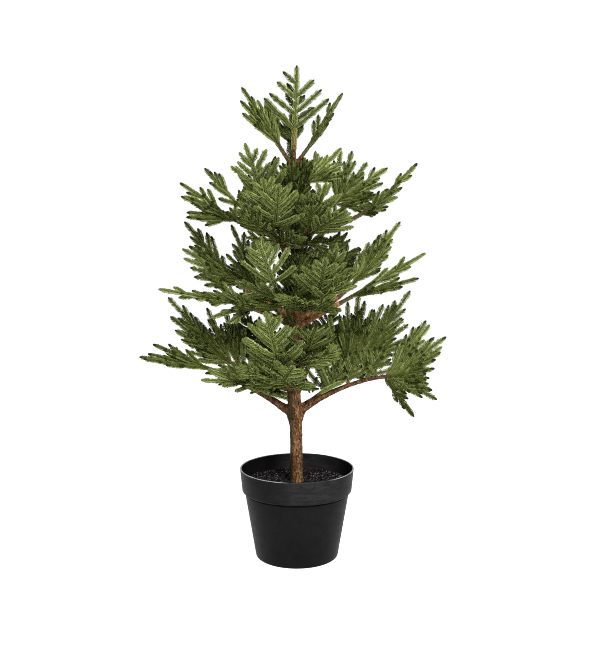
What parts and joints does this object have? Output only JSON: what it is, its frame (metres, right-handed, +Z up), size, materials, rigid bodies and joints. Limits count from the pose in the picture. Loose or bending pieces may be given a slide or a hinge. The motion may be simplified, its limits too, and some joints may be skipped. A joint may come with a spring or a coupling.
{
  "type": "artificial potted spruce",
  "caption": "Small artificial spruce with open whorls of needled sprays on a single bare stem, standing in a plain tapered nursery pot.",
  "frame": {"origin": "middle of the pot's flat underside, where it meets the surface it stands on", "axes": "+Z up along the stem; -Y towards the front of the tree, the side the picture shows; +X to the right as seen from the front"},
  "size_m": [0.5016, 0.3573, 0.8054],
  "materials": {
    "pot_plastic": "dark grey-black moulded plastic, satin, with faint flow marks and a brighter worn lip",
    "medium": "loose black crumb glued over a foam plug",
    "bark": "moulded ochre-brown bark over a wire core, rough, with dark cracks",
    "needles": "moulded soft green needles, satin, mid green with olive highlights and dark shoot tips"
  },
  "bodies": {
    "root": {"pot": "pot_plastic", "growing_medium": "medium", "trunk": "bark", "bough_top_left": "bark", "bough_top_right": "bark", "bough_top_back": "bark", "bough_upper_left_long": "bark", "bough_upper_back_left": "bark", "bough_upper_front_left": "bark", "bough_upper_front_low": "bark", "bough_upper_front": "bark", "bough_upper_back_right": "bark", "bough_upper_right": "bark", "bough_upper_right_long": "bark", "bough_middle_left": "bark", "bough_middle_left_long": "bark", "bough_middle_back_left": "bark", "bough_middle_front_left": "bark", "bough_middle_front": "bark", "bough_middle_right": "bark", "bough_middle_right_long": "bark", "bough_middle_back_right": "bark", "bough_low_left_long": "bark", "bough_low_left_rising": "bark", "bough_low_left_front": "bark", "bough_low_front": "bark", "bough_low_front_right": "bark", "bough_low_right_long": "bark", "bough_low_right_rising": "bark", "bough_low_back_left": "bark", "bough_low_back_right": "bark", "foliage_leader": "needles", "foliage_top_left": "needles", "foliage_top_right": "needles", "foliage_top_back": "needles", "foliage_upper_left_long": "needles", "foliage_upper_back_left": "needles", "foliage_upper_front_left": "needles", "foliage_upper_front_low": "needles", "foliage_upper_front": "needles", "foliage_upper_back_right": "needles", "foliage_upper_right": "needles", "foliage_upper_right_long": "needles", "foliage_middle_left": "needles", "foliage_middle_left_long": "needles", "foliage_middle_back_left": "needles", "foliage_middle_front_left": "needles", "foliage_middle_front": "needles", "foliage_middle_right": "needles", "foliage_middle_right_long": "needles", "foliage_middle_back_right": "needles", "foliage_low_left_long": "needles", "foliage_low_left_rising": "needles", "foliage_low_left_front": "needles", "foliage_low_front": "needles", "foliage_low_front_right": "needles", "foliage_low_right_long": "needles", "foliage_low_right_rising": "needles", "foliage_low_back_left": "needles", "foliage_low_back_right": "needles"}
  },
  "joints": []
}
